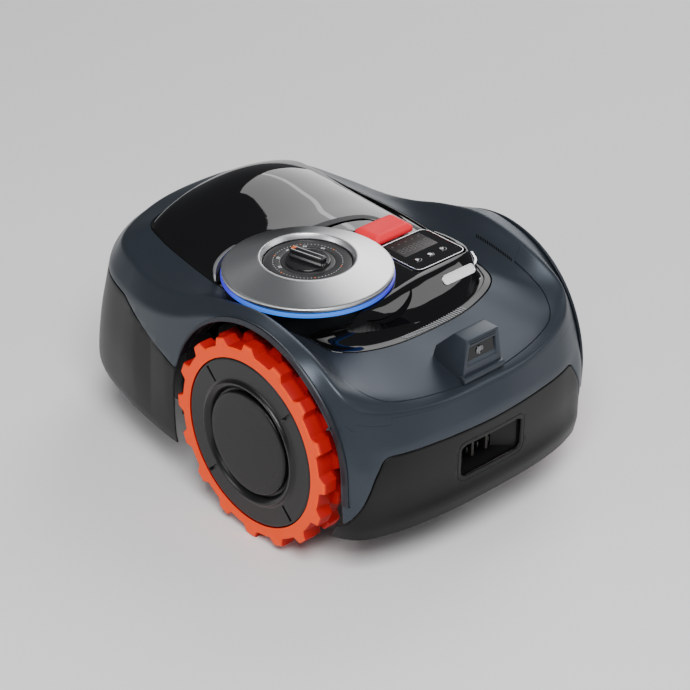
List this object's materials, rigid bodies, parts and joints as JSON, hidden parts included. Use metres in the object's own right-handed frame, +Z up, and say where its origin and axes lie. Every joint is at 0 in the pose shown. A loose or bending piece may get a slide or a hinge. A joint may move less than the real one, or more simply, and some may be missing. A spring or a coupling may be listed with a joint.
{
  "type": "robotic lawn mower",
  "caption": "Low domed robotic lawn mower with lugged side wheels, rear casters, a top height dial, stop button, display, camera and front charging port.",
  "frame": {"origin": "on the ground under the middle of the machine's overall box", "axes": "+X to the machine's left, +Y towards the rear, +Z up; the camera and the charging port face -Y"},
  "size_m": [0.381, 0.54, 0.2773],
  "materials": {
    "slate_shell": "satin metallic slate-blue moulding, fine grain",
    "gloss_black": "piano-black gloss",
    "black_shell": "finely spark-eroded black moulding",
    "inner_black": "plain black glass-filled moulding",
    "dial_black": "satin black with fine ring marks",
    "brushed_metal": "radially brushed",
    "light": "light guide, glowing blue to violet",
    "screen_glass": "smoked hard-coated window",
    "screen": "segment display, off",
    "key_black": "gloss with plain white pictograms",
    "bright_trim": "satin chrome",
    "stop_red": "satin signal red",
    "orange_tread": "moulded orange rubber",
    "rim_black": "satin charcoal moulding",
    "hub_black": "smooth satin black",
    "steel": "ground steel",
    "motor_case": "zinc-plated can",
    "battery": "shrink-wrapped pack",
    "circuit_board": "solder-masked board",
    "contact_brass": "polished",
    "caster_rubber": "hard dark rubber"
  },
  "bodies": {
    "chassis": {"outer_shell": "slate_shell", "deck_cover": "gloss_black", "rear_skirt": "black_shell", "arch_liner_right": "inner_black", "arch_liner_left": "inner_black", "camera_housing": "slate_shell", "camera_window": "screen_glass", "camera_lens": "screen_glass", "disc_pedestal": "gloss_black", "light_ring": "light", "metal_disc": "brushed_metal", "dial_plate": "dial_black", "control_panel": "gloss_black", "display_trim": "bright_trim", "display_glass": "screen_glass", "display_screen": "screen", "stop_switch": "inner_black", "badge_plate": "bright_trim", "antenna_module": "inner_black", "chassis_tub": "inner_black", "battery_pack": "battery", "main_board": "circuit_board", "drive_motor_right": "motor_case", "drive_motor_left": "motor_case", "guide_rod_right": "steel", "guide_rod_left": "steel"},
    "bumper": {"front_bumper": "black_shell", "charge_socket": "black_shell", "charge_contact_right": "contact_brass", "charge_contact_left": "contact_brass"},
    "height_control": {"height_knob": "dial_black", "knob_spindle": "steel"},
    "stop": {"stop_button": "stop_red"},
    "start_key": {"key_start": "key_black"},
    "home_key": {"key_home": "key_black"},
    "ok_key": {"key_ok": "key_black"},
    "drive_wheel_right": {"tyre_right": "orange_tread", "rim_right": "rim_black", "hub_cap_right": "hub_black", "wheel_axle_right": "steel"},
    "drive_wheel_left": {"tyre_left": "orange_tread", "rim_left": "rim_black", "hub_cap_left": "hub_black", "wheel_axle_left": "steel"},
    "caster_right": {"caster_fork_right": "inner_black"},
    "caster_left": {"caster_fork_left": "inner_black"},
    "roller_right": {"caster_wheel_right": "caster_rubber", "caster_axle_right": "steel"},
    "roller_left": {"caster_wheel_left": "caster_rubber", "caster_axle_left": "steel"},
    "cutting_deck": {"deck_carriage": "inner_black", "blade_motor": "motor_case"},
    "rotor": {"blade_disc": "inner_black", "rotor_bolt": "steel", "blade_screw_a": "steel", "blade_screw_b": "steel", "blade_screw_c": "steel"},
    "swing_blade_a": {"blade_a": "steel"},
    "swing_blade_b": {"blade_b": "steel"},
    "swing_blade_c": {"blade_c": "steel"}
  },
  "joints": [
    {"name": "bumper_press", "type": "slide", "parent": "chassis", "child": "bumper", "axis": [0, 1, 0], "range_m": [0, 0.005], "stiffness_N_per_m": 1500, "springref_m": -0.002},
    {"name": "deck_lift", "type": "slide", "parent": "chassis", "child": "cutting_deck", "axis": [0, 0, 1], "range_m": [-0.02, 0.02]},
    {"name": "height_turn", "type": "hinge", "parent": "chassis", "child": "height_control", "pos_m": [-0.062, -0.055, 0.26], "axis": [0, 0, 1], "range_deg": [-136, 136]},
    {"name": "wheel_right_spin", "type": "hinge", "parent": "chassis", "child": "drive_wheel_right", "pos_m": [-0.168, -0.104, 0.11371], "axis": [1, 0, 0], "continuous": true},
    {"name": "wheel_left_spin", "type": "hinge", "parent": "chassis", "child": "drive_wheel_left", "pos_m": [0.168, -0.104, 0.11371], "axis": [1, 0, 0], "continuous": true},
    {"name": "caster_right_swivel", "type": "hinge", "parent": "chassis", "child": "caster_right", "pos_m": [-0.095, 0.182, 0.085], "axis": [0, 0, 1], "continuous": true},
    {"name": "caster_left_swivel", "type": "hinge", "parent": "chassis", "child": "caster_left", "pos_m": [0.095, 0.182, 0.085], "axis": [0, 0, 1], "continuous": true},
    {"name": "caster_right_roll", "type": "hinge", "parent": "caster_right", "child": "roller_right", "pos_m": [-0.095, 0.197, 0.032], "axis": [1, 0, 0], "continuous": true},
    {"name": "caster_left_roll", "type": "hinge", "parent": "caster_left", "child": "roller_left", "pos_m": [0.095, 0.197, 0.032], "axis": [1, 0, 0], "continuous": true},
    {"name": "rotor_spin", "type": "hinge", "parent": "cutting_deck", "child": "rotor", "pos_m": [0, 0.04, 0.06], "axis": [0, 0, 1], "continuous": true},
    {"name": "stop_press", "type": "slide", "parent": "chassis", "child": "stop", "axis": [0, 0, -1], "range_m": [0, 0.004], "stiffness_N_per_m": 800, "springref_m": -0.001},
    {"name": "start_press", "type": "slide", "parent": "chassis", "child": "start_key", "axis": [0, 0, -1], "range_m": [0, 0.0006], "stiffness_N_per_m": 1500, "springref_m": -0.0003},
    {"name": "home_press", "type": "slide", "parent": "chassis", "child": "home_key", "axis": [0, 0, -1], "range_m": [0, 0.0006], "stiffness_N_per_m": 1500, "springref_m": -0.0003},
    {"name": "ok_press", "type": "slide", "parent": "chassis", "child": "ok_key", "axis": [0, 0, -1], "range_m": [0, 0.0006], "stiffness_N_per_m": 1500, "springref_m": -0.0003},
    {"name": "blade_a_pivot", "type": "hinge", "parent": "rotor", "child": "swing_blade_a", "pos_m": [0, 0.1, 0.0402], "axis": [0, 0, 1], "continuous": true},
    {"name": "blade_b_pivot", "type": "hinge", "parent": "rotor", "child": "swing_blade_b", "pos_m": [-0.05196, 0.01, 0.0402], "axis": [0, 0, 1], "continuous": true},
    {"name": "blade_c_pivot", "type": "hinge", "parent": "rotor", "child": "swing_blade_c", "pos_m": [0.05196, 0.01, 0.0402], "axis": [0, 0, 1], "continuous": true}
  ],
  "couplings": [
    {"joint": "height_turn", "follows": "deck_lift", "rad_per_m": 117.8}
  ]
}
